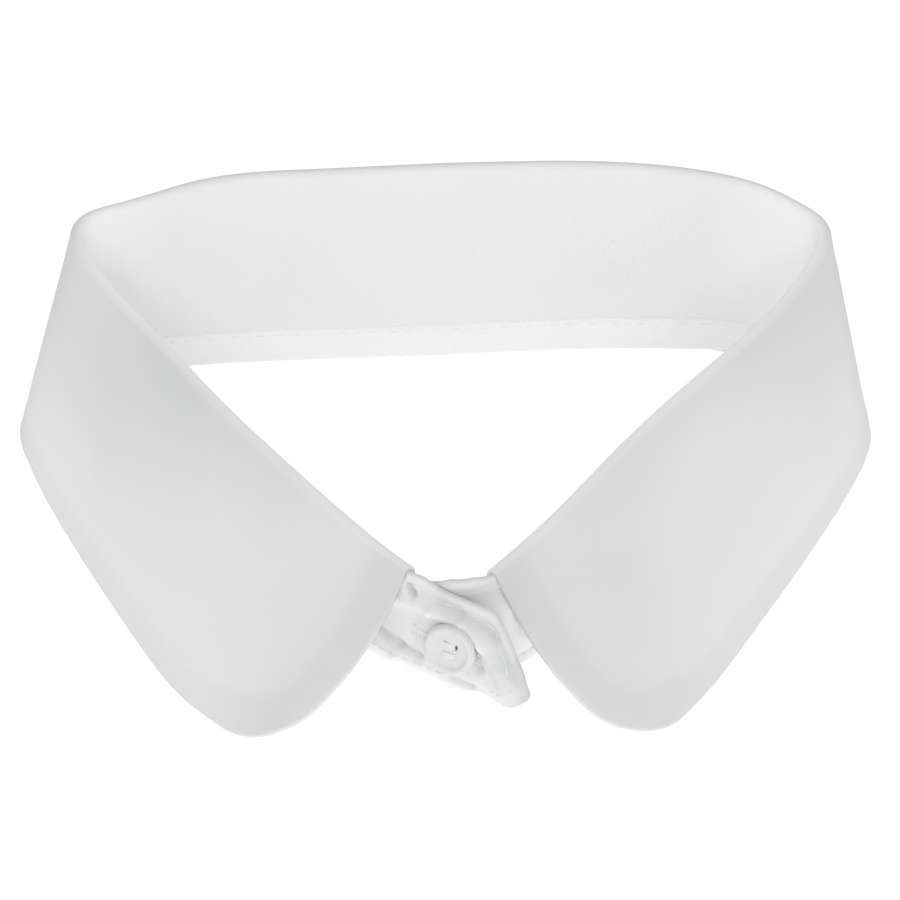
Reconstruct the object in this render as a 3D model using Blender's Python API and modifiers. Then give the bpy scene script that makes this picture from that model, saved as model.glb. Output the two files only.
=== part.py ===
"""A one-piece cotton shirt collar with rounded tips, buttoned, in its open ring form.

The collar is worked out in millimetres in the plane of the neck seam: x across the front,
y towards the back, z up the neck. An empty then tilts that plane, front down, as a neck does.
Its inside wall (the stand) rises from the neck seam, turns over the roll, and drops
outside as the fall, whose front ends are the two round-tipped leaves.
"""
import math

import bmesh
import bpy
import numpy as np
from mathutils import Matrix, Vector

MM = 0.001
COLLECTION = "detachable_collar"

# Driving sizes, in millimetres and degrees.
NECK_TILT = 25.0          # the neck plane's slope, front down
PLY = 1.0                 # thickness of the top collar and of the under collar
SEAM_GAP = 0.3            # between pieces that are sewn together
ROLL_RADIUS = 2.4         # outside radius of the fold along the roll line
BAND_HEIGHT = 7.0         # neck binding, along the neck seam
BAND_PROUD = 0.3          # how far the binding stands proud of each wall
TAB_THICK = 1.6           # button tab: two plies and their interlining
TAB_LAP = 14.0            # how much of each tab lies on the stand
TAB_DROP = 6.0            # tab's top edge below the roll, where it lies in the fold
TAB_FREE_DROP = 1.0       # and past the end of the roll
TAB_RISE = 6.0            # length over which the top edge climbs between the two
EDGE_BACK = 0.4           # under collar's edge, inside the top collar's
BUTTON_RADIUS = 5.3
BUTTON_THICK = 2.2
BUTTON_RIM = 1.0
BUTTON_DISH = 0.6         # depth of the dished face inside the rim
BUTTON_HOLE_RADIUS = 0.8
BUTTON_HOLE_SPREAD = 1.5  # each hole's centre from the middle, along and across
BUTTON_LIFT = 0.5         # under the button, for its thread
BUTTON_AHEAD = 13.3       # its centre past the left end of the roll
BUTTON_UP = 9.2           # and above the tab's lower edge

# Sections of the collar, one a row, from the overlap's end round the back to the underlap's end.
# x, y and top place the crest of the roll, or of the tab's top edge past the roll's ends.
# foot is the neck edge's height. face is the way that the section looks, from +x towards +y.
# lean tips the stand outward, fall is the depth outside, and flare tips the fall outward.
COLUMNS = ("x", "y", "top", "foot", "face", "lean", "fall", "flare")
SECTIONS = (
    (15.5, -70.5, 10.0, -9.0, 236, 6, 44, 52),
    (8.5, -65.5, 10.8, -8.5, 233, -3, 44, 52),
    (1.5, -60.5, 11.5, -8.0, 230, -11, 44, 52),
    (-7.9, -53.8, 12.8, -7.5, 225, -14, 44.8, 50),
    (-18.2, -46.7, 17.2, -6.0, 224, -8, 46, 39),
    (-31.4, -34.8, 22.5, -3.0, 222, 0, 50, 30),
    (-46.5, -18.5, 27.6, -1.0, 218, 6, 51.2, 23),
    (-59.8, -1.3, 32.0, 0.0, 213, 9, 52, 17.5),
    (-69.7, 11.7, 35.3, 0.0, 205, 9, 51.5, 14),
    (-73.4, 18.5, 36.8, 0.0, 190, 7, 51, 13.5),
    (-74.4, 25.0, 36.6, 0.0, 168, 5, 51.2, 14.5),
    (-72.6, 30.6, 36.1, 0.0, 133, 4.5, 51.8, 14),
    (-65.5, 33.4, 37.0, 0.0, 109, 7, 52, 13),
    (-51.0, 37.5, 39.3, 0.0, 101, 11, 52, 12),
    (-28.2, 40.3, 40.2, 0.0, 96, 12, 52, 11),
    (-1.9, 41.6, 40.8, 0.0, 91, 11.5, 52, 11),
    (28.0, 43.3, 40.2, 0.0, 87, 11, 52, 11),
    (50.0, 42.3, 38.8, 0.0, 82, 10, 52, 12),
    (64.2, 38.5, 37.0, 0.0, 70, 8, 52, 13),
    (69.4, 34.4, 36.5, 0.0, 50, 7, 51.8, 13),
    (73.6, 29.0, 36.6, 0.0, 15, 7, 51.4, 12.5),
    (74.6, 22.5, 36.9, 0.0, -9, 8, 51, 11.5),
    (71.3, 13.6, 35.3, 0.0, -24, 9, 51.4, 11),
    (61.2, -1.2, 32.2, 0.0, -32, 9, 52, 13),
    (45.5, -17.2, 27.6, -1.0, -38, 6, 51.1, 21),
    (31.0, -32.7, 22.6, -3.2, -40, 0, 49.5, 29),
    (18.9, -46.0, 17.6, -6.2, -40, -8, 45.8, 38.5),
    (8.2, -54.7, 12.6, -8.0, -44, -14, 45, 49),
    (4.0, -57.6, 11.6, -8.2, -62, -13, 45, 50),
    (-0.2, -56.8, 10.6, -8.5, -112, -12, 45, 50),
    (-4.0, -49.9, 8.4, -8.5, -128, -13, 45, 50),
    (-9.3, -45.7, 7.2, -8.5, -131, -14, 45, 50),
)
LEFT_END = 3              # row where the roll ends on the left
RIGHT_END = 27            # and on the right
CENTRE = 15
CORNER_ROWS = (9, 10, 11, 18, 19, 20)

# How finely the surfaces are divided.
STATION_GAP = 8.0         # widest column along the roll
CORNER_GAP = 4.2          # and round the two back corners
STAND_STEPS = 4
ROLL_STEPS = 6
FALL_SHARES = (0.12, 0.28, 0.44, 0.58, 0.70, 0.80, 0.89, 0.95, 0.985, 1.0)
BAND_STEPS = 2
TAB_COLUMNS = 18
TAB_ROWS = 10
BUTTON_SIDES = 32

INWARD = -1.0             # a wall grown behind its faces, into the fold
OUTWARD = 1.0

# The cut of each leaf's front edge, from the roll down.
# back: how far the edge runs back by the tip. swell: its outward bow.
# tip_along and tip_depth: size of the tip's rounding, along and as a share of the fall.
LEAVES = {
    "left": {"back": 5.0, "swell": 3.7, "tip_along": 15.8, "tip_depth": 0.30},
    "right": {"back": 5.2, "swell": 3.0, "tip_along": 16.2, "tip_depth": 0.30},
}

# The free end of each tab: its reach past the roll's end, at the upper and the lower corner.
TABS = {
    "over": {"upper": 19.5, "lower": 30.0, "corner": 0.22},
    "under": {"upper": 21.0, "lower": 21.0, "corner": 0.25},
}

WHITE_COTTON = (0.86, 0.87, 0.88, 1.0)
WHITE_BINDING = (0.90, 0.90, 0.91, 1.0)
WHITE_TAB = (0.84, 0.85, 0.86, 1.0)
PEARL_WHITE = (0.82, 0.82, 0.81, 1.0)


class RollLine:
    """Smooth columns of the section table, by distance along the roll from the centre back."""

    def __init__(self, rows):
        self.rows = np.array(rows, dtype=float)
        steps = np.hypot(np.diff(self.rows[:, 0]), np.diff(self.rows[:, 1]))
        self.keys = np.concatenate([[0.0], np.cumsum(steps)])
        self.keys -= self.keys[CENTRE]
        self.bends = self.second_slopes()

    def second_slopes(self):
        """Second derivatives of the natural cubic spline through the rows."""
        count = len(self.keys)
        gaps = np.diff(self.keys)
        matrix = np.eye(count)
        target = np.zeros_like(self.rows)
        for i in range(1, count - 1):
            matrix[i, i - 1] = gaps[i - 1]
            matrix[i, i] = 2.0 * (gaps[i - 1] + gaps[i])
            matrix[i, i + 1] = gaps[i]
            after = (self.rows[i + 1] - self.rows[i]) / gaps[i]
            before = (self.rows[i] - self.rows[i - 1]) / gaps[i - 1]
            target[i] = 6.0 * (after - before)
        return np.linalg.solve(matrix, target)

    def at(self, along):
        """A dictionary of the columns at this distance, angles in radians."""
        i = int(np.clip(np.searchsorted(self.keys, along) - 1, 0, len(self.keys) - 2))
        gap = self.keys[i + 1] - self.keys[i]
        a = (self.keys[i + 1] - along) / gap
        b = 1.0 - a
        value = a * self.rows[i] + b * self.rows[i + 1]
        curve = (a ** 3 - a) * self.bends[i] + (b ** 3 - b) * self.bends[i + 1]
        value = value + curve * gap * gap / 6.0
        section = dict(zip(COLUMNS, value))
        for angle in ("face", "lean", "flare"):
            section[angle] = math.radians(section[angle])
        return section


ROLL = RollLine(SECTIONS)
LEFT_LENGTH = -ROLL.keys[LEFT_END]
RIGHT_LENGTH = ROLL.keys[RIGHT_END]


def place(section, outward, height):
    """The point this far outward from the crest, in the section's own direction."""
    x = section["x"] + math.cos(section["face"]) * outward
    y = section["y"] + math.sin(section["face"]) * outward
    return (x, y, height)


def stand_length(section):
    """Length of the stand's straight wall, from the neck edge to where the roll starts."""
    rise = section["top"] - section["foot"] - ROLL_RADIUS * (1.0 - math.sin(section["lean"]))
    return rise / math.cos(section["lean"])


def stand_point(along, up, lift):
    """A point on the stand: up from the neck edge, and lifted outward from its inside face."""
    section = ROLL.at(along)
    lean = section["lean"]
    left = stand_length(section) - up
    outward = -ROLL_RADIUS * math.cos(lean) - left * math.sin(lean) + lift * math.cos(lean)
    height = section["foot"] + up * math.cos(lean) - lift * math.sin(lean)
    return place(section, outward, height)


def roll_point(along, share, inset):
    """A point on the fold, from the stand (share 0) to the fall (share 1)."""
    section = ROLL.at(along)
    lean = section["lean"]
    turn = lean + share * (math.pi - section["flare"] - lean)
    radius = ROLL_RADIUS - inset
    height = section["top"] - ROLL_RADIUS + radius * math.sin(turn)
    return place(section, -radius * math.cos(turn), height)


def fall_point(along, share, inset, short=0.0):
    """A point on the fall, from the fold (share 0) to its outer edge (share 1)."""
    section = ROLL.at(along)
    flare = section["flare"]
    radius = ROLL_RADIUS - inset
    depth = share * (section["fall"] - short)
    outward = radius * math.cos(flare) + depth * math.sin(flare)
    height = section["top"] - ROLL_RADIUS + radius * math.sin(flare) - depth * math.cos(flare)
    return place(section, outward, height)


def leaf_end(side, share, short):
    """Where the leaf's front edge lies along the roll, at this share of the fall's depth."""
    cut = LEAVES[side]
    length = LEFT_LENGTH if side == "left" else RIGHT_LENGTH
    into_tip = max(0.0, share - (1.0 - cut["tip_depth"])) / cut["tip_depth"]
    rounded = cut["tip_along"] * (1.0 - math.sqrt(max(0.0, 1.0 - into_tip ** 2)))
    bowed = cut["swell"] * math.sin(math.pi * share)
    return length - cut["back"] * share + bowed - rounded - short * share


def fall_along(place_on_roll, share, short):
    """Distance along the roll for a column of the fall, drawn back near the front edge."""
    side = "left" if place_on_roll < 0.0 else "right"
    length = LEFT_LENGTH if side == "left" else RIGHT_LENGTH
    pull = (abs(place_on_roll) / length) ** 5
    moved = abs(place_on_roll) + (leaf_end(side, share, short) - length) * pull
    return math.copysign(moved, place_on_roll)


def grid_mesh(name, rows):
    """An open surface through rows of points, all of one length."""
    mesh = bpy.data.meshes.new(name)
    build = bmesh.new()
    made = [[build.verts.new(Vector(point) * MM) for point in row] for row in rows]
    for lower, upper in zip(made, made[1:]):
        for i in range(len(lower) - 1):
            build.faces.new((lower[i], lower[i + 1], upper[i + 1], upper[i]))
    build.normal_update()
    build.to_mesh(mesh)
    build.free()
    return mesh


def material(name, colour, roughness):
    """A plain Principled finish."""
    made = bpy.data.materials.new(name)
    made.use_nodes = True
    shader = made.node_tree.nodes["Principled BSDF"]
    shader.inputs["Base Color"].default_value = colour
    shader.inputs["Roughness"].default_value = roughness
    shader.inputs["Metallic"].default_value = 0.0
    made.diffuse_color = colour
    return made


def add_object(name, mesh, collection, finish, parent):
    """One named solid, held by the tilted neck plane."""
    made = bpy.data.objects.new(name, mesh)
    made.data.materials.append(finish)
    collection.objects.link(made)
    made.parent = parent
    return made


def thicken(made, thickness, side):
    """Gives an open surface its wall: side -1 grows it behind its faces, 1 in front."""
    wall = made.modifiers.new("wall", "SOLIDIFY")
    wall.thickness = thickness * MM
    wall.offset = side
    wall.use_even_offset = True
    wall.use_rim = True


def roll_stations():
    """Columns along the roll: close together at the two back corners, wider elsewhere."""
    stations = []
    for i in range(LEFT_END, RIGHT_END):
        start, end = ROLL.keys[i], ROLL.keys[i + 1]
        widest = CORNER_GAP if i in CORNER_ROWS else STATION_GAP
        count = max(1, math.ceil((end - start) / widest))
        stations += [start + (end - start) * k / count for k in range(count)]
    stations.append(ROLL.keys[RIGHT_END])
    return stations


def collar_rows(inset, short):
    """Rows of points from the top of the neck binding, over the roll, to the fall's edge."""
    stations = roll_stations()
    rows = []
    start = BAND_HEIGHT + SEAM_GAP
    for step in range(STAND_STEPS):
        share = step / STAND_STEPS
        row = []
        for along in stations:
            length = stand_length(ROLL.at(along))
            row.append(stand_point(along, start + (length - start) * share, inset))
        rows.append(row)
    for step in range(ROLL_STEPS + 1):
        rows.append([roll_point(along, step / ROLL_STEPS, inset) for along in stations])
    for share in FALL_SHARES:
        rows.append([fall_point(fall_along(along, share, short), share, inset, short)
                     for along in stations])
    return rows


def build_top_collar(collection, parent):
    """The upper ply: the inside of the stand, the roll and the outside of the fall."""
    mesh = grid_mesh("top_collar", collar_rows(0.0, 0.0))
    made = add_object("top_collar", mesh, collection,
                      material("collar_cotton", WHITE_COTTON, 0.85), parent)
    thicken(made, PLY, INWARD)


def build_under_collar(collection, parent):
    """The under ply, nested inside the upper one."""
    mesh = grid_mesh("under_collar", collar_rows(PLY + SEAM_GAP, EDGE_BACK))
    made = add_object("under_collar", mesh, collection,
                      material("under_cotton", WHITE_COTTON, 0.85), parent)
    thicken(made, PLY, INWARD)


def build_neck_band(collection, parent):
    """The straight binding that holds both plies along the neck seam."""
    rows = []
    for step in range(BAND_STEPS + 1):
        up = BAND_HEIGHT * step / BAND_STEPS
        rows.append([stand_point(along, up, -BAND_PROUD) for along in roll_stations()])
    made = add_object("neck_band", grid_mesh("neck_band", rows), collection,
                      material("binding_cotton", WHITE_BINDING, 0.85), parent)
    thicken(made, 2.0 * PLY + SEAM_GAP + 2.0 * BAND_PROUD, INWARD)


def tab_top(past_end):
    """How far the tab's top edge lies below the roll, by distance past the roll's end."""
    climb = min(1.0, max(0.0, past_end / TAB_RISE))
    eased = climb * climb * (3.0 - 2.0 * climb)
    return TAB_DROP + (TAB_FREE_DROP - TAB_DROP) * eased


def tab_reach(tab, share):
    """The free end past the roll's end, at this share of the tab's height, corners rounded."""
    straight = tab["lower"] + (tab["upper"] - tab["lower"]) * share
    near_corner = min(share, 1.0 - share) / tab["corner"]
    short = max(0.0, 1.0 - near_corner)
    roundness = (tab["lower"] - tab["upper"]) * 0.25 + 3.0
    return straight - roundness * (1.0 - math.sqrt(1.0 - short * short))


def tab_point(tab, side, length, u, share):
    """A point on the tab's inner face: u runs from the stand to the free end."""
    past = -TAB_LAP + (tab_reach(tab, share) + TAB_LAP) * u
    along = side * (length + past)
    height = stand_length(ROLL.at(along)) - tab_top(past)
    lift = 2.0 * PLY + SEAM_GAP + BAND_PROUD + SEAM_GAP
    return stand_point(along, height * share, lift)


def build_tab(name, tab, side, collection, parent):
    """A button tab: made from the stand's own points, moved out, and run on past its end."""
    length = LEFT_LENGTH if side < 0 else RIGHT_LENGTH
    rows = []
    for j in range(TAB_ROWS + 1):
        share = 0.5 - 0.5 * math.cos(math.pi * j / TAB_ROWS)
        rows.append([tab_point(tab, side, length, i / TAB_COLUMNS, share)
                     for i in range(TAB_COLUMNS + 1)])
    made = add_object(name, grid_mesh(name, rows), collection,
                      material(name + "_cotton", WHITE_TAB, 0.85), parent)
    thicken(made, TAB_THICK, OUTWARD if side < 0 else INWARD)


def button_frame():
    """Where the button sits on the overlap, turned to lie flat on it."""
    along = -(LEFT_LENGTH + BUTTON_AHEAD)
    lift = 2.0 * PLY + 2.0 * SEAM_GAP + BAND_PROUD + TAB_THICK
    middle = Vector(stand_point(along, BUTTON_UP, lift))
    ahead = Vector(stand_point(along - 1.0, BUTTON_UP, lift)) - middle
    above = Vector(stand_point(along, BUTTON_UP + 1.0, lift)) - middle
    out = ahead.cross(above).normalized()
    if out.y > 0.0:
        out = -out
    ahead = (ahead - out * ahead.dot(out)).normalized()
    turned = Matrix((ahead, out.cross(ahead), out)).transposed().to_4x4()
    return Matrix.Translation((middle + out * BUTTON_LIFT) * MM) @ turned


def build_button(collection, cutters, parent):
    """A turned four-hole button: a flat back, a rounded rim and a dished face."""
    inner = BUTTON_RADIUS - BUTTON_RIM
    profile = [
        (0.0, 0.0), (BUTTON_RADIUS - 0.8, 0.0), (BUTTON_RADIUS - 0.2, 0.5),
        (BUTTON_RADIUS, 1.1), (BUTTON_RADIUS - 0.2, 1.8), (BUTTON_RADIUS - 0.6, BUTTON_THICK),
        (inner, BUTTON_THICK - 0.2), (inner - 0.5, BUTTON_THICK - BUTTON_DISH),
        (0.0, BUTTON_THICK - BUTTON_DISH),
    ]
    mesh = bpy.data.meshes.new("button")
    points = [Vector((radius, 0.0, height)) * MM for radius, height in profile]
    mesh.from_pydata(points, [(i, i + 1) for i in range(len(points) - 1)], [])
    made = add_object("button", mesh, collection, material("button_pearl", PEARL_WHITE, 0.3), parent)
    made.matrix_local = button_frame()
    turn = made.modifiers.new("turn", "SCREW")
    turn.axis = "Z"
    turn.angle = 2.0 * math.pi
    turn.steps = BUTTON_SIDES
    turn.render_steps = BUTTON_SIDES
    turn.use_merge_vertices = True
    turn.merge_threshold = 0.00005
    turn.use_normal_calculate = True
    for i in range(4):
        angle = math.radians(45.0 + 90.0 * i)
        spread = BUTTON_HOLE_SPREAD * math.sqrt(2.0)
        spot = Vector((math.cos(angle) * spread, math.sin(angle) * spread, BUTTON_THICK / 2.0)) * MM
        bpy.ops.mesh.primitive_cylinder_add(vertices=12, radius=BUTTON_HOLE_RADIUS * MM,
                                            depth=3.0 * BUTTON_THICK * MM)
        cutter = bpy.context.object
        cutter.name = f"thread_hole_cutter_{i + 1}"
        cutter.parent = made
        cutter.location = spot
        cutter.hide_render = True
        cutter.display_type = "WIRE"
        for holder in list(cutter.users_collection):
            holder.objects.unlink(cutter)
        cutters.objects.link(cutter)
        hole = made.modifiers.new(f"thread_hole_{i + 1}", "BOOLEAN")
        hole.operation = "DIFFERENCE"
        hole.solver = "EXACT"
        hole.object = cutter


def main():
    for old in list(bpy.data.objects):
        bpy.data.objects.remove(old)
    collection = bpy.data.collections.new(COLLECTION)
    cutters = bpy.data.collections.new("cutters")
    bpy.context.scene.collection.children.link(collection)
    bpy.context.scene.collection.children.link(cutters)
    neck_plane = bpy.data.objects.new("neck_plane", None)
    collection.objects.link(neck_plane)
    neck_plane.rotation_euler.x = math.radians(NECK_TILT)
    build_top_collar(collection, neck_plane)
    build_under_collar(collection, neck_plane)
    build_neck_band(collection, neck_plane)
    build_tab("tab_over", TABS["over"], -1, collection, neck_plane)
    build_tab("tab_under", TABS["under"], 1, collection, neck_plane)
    build_button(collection, cutters, neck_plane)


main()
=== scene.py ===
# The looks of the detachable shirt collar: cloth, binding, button tabs, stitches and studio.
import math

import bpy
import numpy as np
from mathutils import Matrix, Vector


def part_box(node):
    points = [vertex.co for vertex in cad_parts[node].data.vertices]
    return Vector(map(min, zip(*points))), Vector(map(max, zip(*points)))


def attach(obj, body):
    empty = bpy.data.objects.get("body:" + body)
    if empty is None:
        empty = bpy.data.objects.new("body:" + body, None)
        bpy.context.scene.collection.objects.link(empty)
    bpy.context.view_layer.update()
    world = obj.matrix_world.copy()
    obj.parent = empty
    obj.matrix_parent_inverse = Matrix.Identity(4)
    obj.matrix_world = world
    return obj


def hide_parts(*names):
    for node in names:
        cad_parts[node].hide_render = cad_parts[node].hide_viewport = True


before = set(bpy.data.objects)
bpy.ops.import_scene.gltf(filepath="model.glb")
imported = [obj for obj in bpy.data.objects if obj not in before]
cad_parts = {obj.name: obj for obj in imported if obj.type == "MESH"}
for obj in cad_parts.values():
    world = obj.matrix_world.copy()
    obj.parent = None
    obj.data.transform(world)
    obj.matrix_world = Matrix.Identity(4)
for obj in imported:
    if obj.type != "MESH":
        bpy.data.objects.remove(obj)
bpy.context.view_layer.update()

MM = 0.001

# Driving sizes in millimetres and degrees, as in the part's source.
NECK_TILT = 25.0          # slope of the neck plane, front down
ROLL_RADIUS = 1.5         # outside of the pressed fold
BAND_HEIGHT = 7.0
BAND_PROUD = 0.2
TAB_LAP = 14.0
BUTTON_AHEAD = 13.3
BUTTON_UP = 9.2
BUTTON_HOLE_RADIUS = 0.6
BUTTON_HOLE_SPREAD = 1.05
BUTTON_FACE = 1.5         # height of the dished face over the button's back

# Thicknesses of the real cloth, in millimetres.
COLLAR_THICK = 0.96       # both plies and their interlining
PLY = 0.3
UNDER_BACK = 0.55         # the under ply stops short of the turned edge
EDGE_TUCK = 0.45          # how far the turned edge runs back over the under side
BAND_PLY = 0.3
BAND_IN = 2.0             # how far the plies run down inside the binding
TAB_LIFT = 2.0            # from the stand's inside face to the tab's back
TAB_THICK = 1.6

# Sections of the collar, one a row, from the overlap's end round the back to the underlap's end.
# x, y and top place the crest of the roll. foot is the neck edge's height, and face the way
# that the section looks. lean tips the stand outward, fall is the depth outside, and flare
# tips the fall outward.
COLUMNS = ("x", "y", "top", "foot", "face", "lean", "fall", "flare")
SECTIONS = (
    (15.5, -70.5, 10.0, -9.0, 236, 6, 44, 52),
    (8.5, -65.5, 10.8, -8.5, 233, -3, 44, 52),
    (1.5, -60.5, 11.5, -8.0, 230, -11, 44, 52),
    (-7.9, -53.8, 12.8, -7.5, 225, -14, 44.8, 50),
    (-18.2, -46.7, 17.2, -6.0, 224, -8, 46, 39),
    (-31.4, -34.8, 22.5, -3.0, 222, 0, 50, 30),
    (-46.5, -18.5, 27.6, -1.0, 218, 6, 51.2, 23),
    (-59.8, -1.3, 32.0, 0.0, 213, 9, 52, 17.5),
    (-69.7, 11.7, 35.3, 0.0, 205, 9, 51.5, 14),
    (-73.4, 18.5, 36.8, 0.0, 190, 7, 51, 13.5),
    (-74.4, 25.0, 36.6, 0.0, 168, 5, 51.2, 14.5),
    (-72.6, 30.6, 36.1, 0.0, 133, 4.5, 51.8, 14),
    (-65.5, 33.4, 37.0, 0.0, 109, 7, 52, 13),
    (-51.0, 37.5, 39.3, 0.0, 101, 11, 52, 12),
    (-28.2, 40.3, 40.2, 0.0, 96, 12, 52, 11),
    (-1.9, 41.6, 40.8, 0.0, 91, 11.5, 52, 11),
    (28.0, 43.3, 40.2, 0.0, 87, 11, 52, 11),
    (50.0, 42.3, 38.8, 0.0, 82, 10, 52, 12),
    (64.2, 38.5, 37.0, 0.0, 70, 8, 52, 13),
    (69.4, 34.4, 36.5, 0.0, 50, 7, 51.8, 13),
    (73.6, 29.0, 36.6, 0.0, 15, 7, 51.4, 12.5),
    (74.6, 22.5, 36.9, 0.0, -9, 8, 51, 11.5),
    (71.3, 13.6, 35.3, 0.0, -24, 9, 51.4, 11),
    (61.2, -1.2, 32.2, 0.0, -32, 9, 52, 13),
    (45.5, -17.2, 27.6, -1.0, -38, 6, 51.1, 21),
    (31.0, -32.7, 22.6, -3.2, -40, 0, 49.5, 29),
    (18.9, -46.0, 17.6, -6.2, -40, -8, 45.8, 38.5),
    (8.2, -54.7, 12.6, -8.0, -44, -14, 45, 49),
    (4.0, -57.6, 11.6, -8.2, -62, -13, 45, 50),
    (-0.2, -56.8, 10.6, -8.5, -112, -12, 45, 50),
    (-4.0, -49.9, 8.4, -8.5, -128, -13, 45, 50),
    (-9.3, -45.7, 7.2, -8.5, -131, -14, 45, 50),
)
LEFT_END = 3              # row where the roll ends on the left
RIGHT_END = 27            # and on the right
CENTRE = 15
LEAVES = {
    "left": {"back": 5.0, "swell": 3.7, "tip_along": 15.8, "tip_depth": 0.30},
    "right": {"back": 5.2, "swell": 3.0, "tip_along": 16.2, "tip_depth": 0.30},
}
# Each tab, by distance past the roll's end: how far its top edge lies below the roll (drops)
# and how its lower edge wavers (feet); and by share of its height, how far its free end reaches.
TABS = {
    "over": {
        "side": -1,
        "drops": ((-14.0, 0.2), (-0.4, 0.2), (0.8, -0.7), (4.2, -1.3), (7.8, -0.9), (11.6, -1.0),
                  (14.6, -1.4), (17.6, -1.8), (20.0, -2.4), (30.0, -2.4)),
        "feet": ((-14.0, 1.0), (-5.0, 1.0), (1.0, 0.8), (5.0, 0.6), (8.6, 0.2), (11.6, 0.0),
                 (16.6, 1.0), (19.2, 1.7), (20.8, 1.3), (22.4, 0.4), (24.6, -0.5), (28.0, 0.2)),
        "reach": ((0.0, 23.6), (0.03, 25.1), (0.08, 26.5), (0.13, 27.4), (0.16, 27.7),
                  (0.2, 27.4), (0.3, 26.9), (0.52, 25.9), (0.7, 24.5), (0.9, 22.4),
                  (0.97, 21.0), (1.0, 19.4)),
    },
    "under": {
        "side": 1,
        "drops": ((-14.0, 0.2), (-0.4, 0.2), (0.8, -0.9), (5.0, -2.6), (8.6, -2.8), (14.0, -0.6),
                  (18.0, 1.4), (21.0, 2.4)),
        "feet": ((-14.0, 0.8), (21.0, 0.8)),
        "reach": ((0.0, 17.5), (0.06, 19.6), (0.2, 20.8), (0.8, 20.8), (0.94, 19.6), (1.0, 17.5)),
    },
}
TUCK_REACH = 1.2          # where a tab's thinned top edge has left the fold
TUCK_DEPTH = 2.4
TUCK_LIFT = 1.1           # back of that edge, from the stand's inside face
TUCK_THICK = 1.05

# Soft creases of the collar: from and to, as distance along the roll from the centre back and
# distance from the roll (the stand is below 0), then height and half width. A trough is below 0.
COLLAR_CREASES = (
    (-1.0, -33.0, -0.4, -4.0, -0.12, 0.8),       # pressed line at the centre back
    (-1.0, -31.0, -0.7, -22.0, -0.10, 1.2),
    (-60.0, -24.0, -48.0, -30.0, -0.35, 7.0),    # slack places on the inside of the back
    (-30.0, -10.0, -12.0, -22.0, 0.22, 8.0),
    (24.0, -26.0, 40.0, -14.0, -0.30, 8.0),
    (58.0, -12.0, 70.0, -26.0, 0.20, 6.0),
    (-96.0, -8.0, -92.0, -28.0, -0.30, 3.5),     # where the stand bends round each corner
    (-84.0, -6.0, -86.0, -26.0, 0.22, 3.0),
    (88.0, -6.0, 90.0, -27.0, -0.30, 3.2),
    (99.0, -8.0, 97.0, -26.0, 0.22, 3.2),
    (-98.0, 10.0, -104.0, 40.0, -0.25, 5.0),     # on the fall, below the same corners
    (-86.0, 12.0, -80.0, 44.0, 0.22, 6.0),
    (92.0, 10.0, 98.0, 42.0, -0.25, 5.0),
    (80.0, 14.0, 74.0, 46.0, 0.22, 6.0),
    (-40.0, 12.0, -18.0, 40.0, 0.18, 8.0),       # behind, as on the sides that show
    (14.0, 10.0, 34.0, 38.0, -0.18, 8.0),
    (-130.0, 16.0, -140.0, 34.0, 0.16, 9.0),
    (-166.0, 12.0, -150.0, 30.0, -0.16, 7.0),
    (134.0, 14.0, 142.0, 36.0, 0.16, 9.0),
    (170.0, 12.0, 154.0, 30.0, -0.16, 7.0),
)

# Painted shade on the fall, laid out in the same way: the sides under the back corners, which face
# away from the lamps.
FALL_PAINTED_SIDE_SHADE = (
    (-116.0, 4.0, -100.0, 22.0, -0.17, 18.0),
    (112.0, 4.0, 98.0, 20.0, -0.11, 18.0),
    (-150.0, 2.0, -120.0, 2.0, -0.10, 9.0),
    (120.0, 2.0, 150.0, 2.0, -0.08, 9.0),
)

# Puckers of the overlap: from and to, as distance past the roll's end and height above the
# lower edge, then height and half width.
OVER_CREASES = (
    (-12.0, 13.0, -0.6, 13.6, 0.55, 1.0),        # raised fold under the top border
    (-0.6, 13.6, 7.6, 14.2, 0.75, 0.9),
    (7.6, 14.2, 14.2, 14.2, 0.80, 0.9),
    (14.2, 14.2, 18.8, 12.0, 0.80, 0.9),
    (18.8, 12.0, 22.0, 8.0, 0.75, 1.0),
    (22.0, 8.0, 22.6, 5.6, 0.45, 1.1),
    (5.0, 16.8, 13.0, 16.6, -0.45, 1.3),         # sunk between that fold and the top edge
    (13.0, 16.6, 20.6, 15.6, -0.85, 1.5),
    (20.6, 15.6, 24.8, 8.0, -0.55, 1.5),
    (2.0, 17.4, 3.0, 16.4, -1.50, 0.7),          # pit beside the roll's end
    (-4.0, 6.4, 2.2, 5.0, -1.00, 0.8),           # grooves above the lower border
    (2.2, 5.0, 6.6, 4.2, -1.15, 0.8),
    (6.6, 4.2, 9.0, 3.2, -0.50, 0.8),
    (13.6, 2.4, 17.4, 2.0, -0.75, 0.7),
    (16.4, 10.8, 18.6, 6.4, -1.00, 0.9),         # drawn in beside the button
    (18.6, 6.4, 21.6, 4.4, -0.60, 0.8),
    (4.6, 12.0, 5.2, 7.4, -0.45, 0.9),
    (-2.0, 10.6, 3.6, 9.0, 0.35, 1.6),
    (-12.0, 2.4, 2.0, 2.0, 0.80, 1.5),           # lower border, puffed between its stitches
    (2.0, 2.0, 12.0, 1.3, 0.50, 1.0),
    (17.0, 4.2, 20.5, 3.0, 0.50, 0.9),
    (23.4, 4.4, 24.6, 2.4, 0.70, 1.5),           # curled tip
    (26.2, 9.0, 28.0, 4.0, -0.50, 1.0),
)
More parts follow.
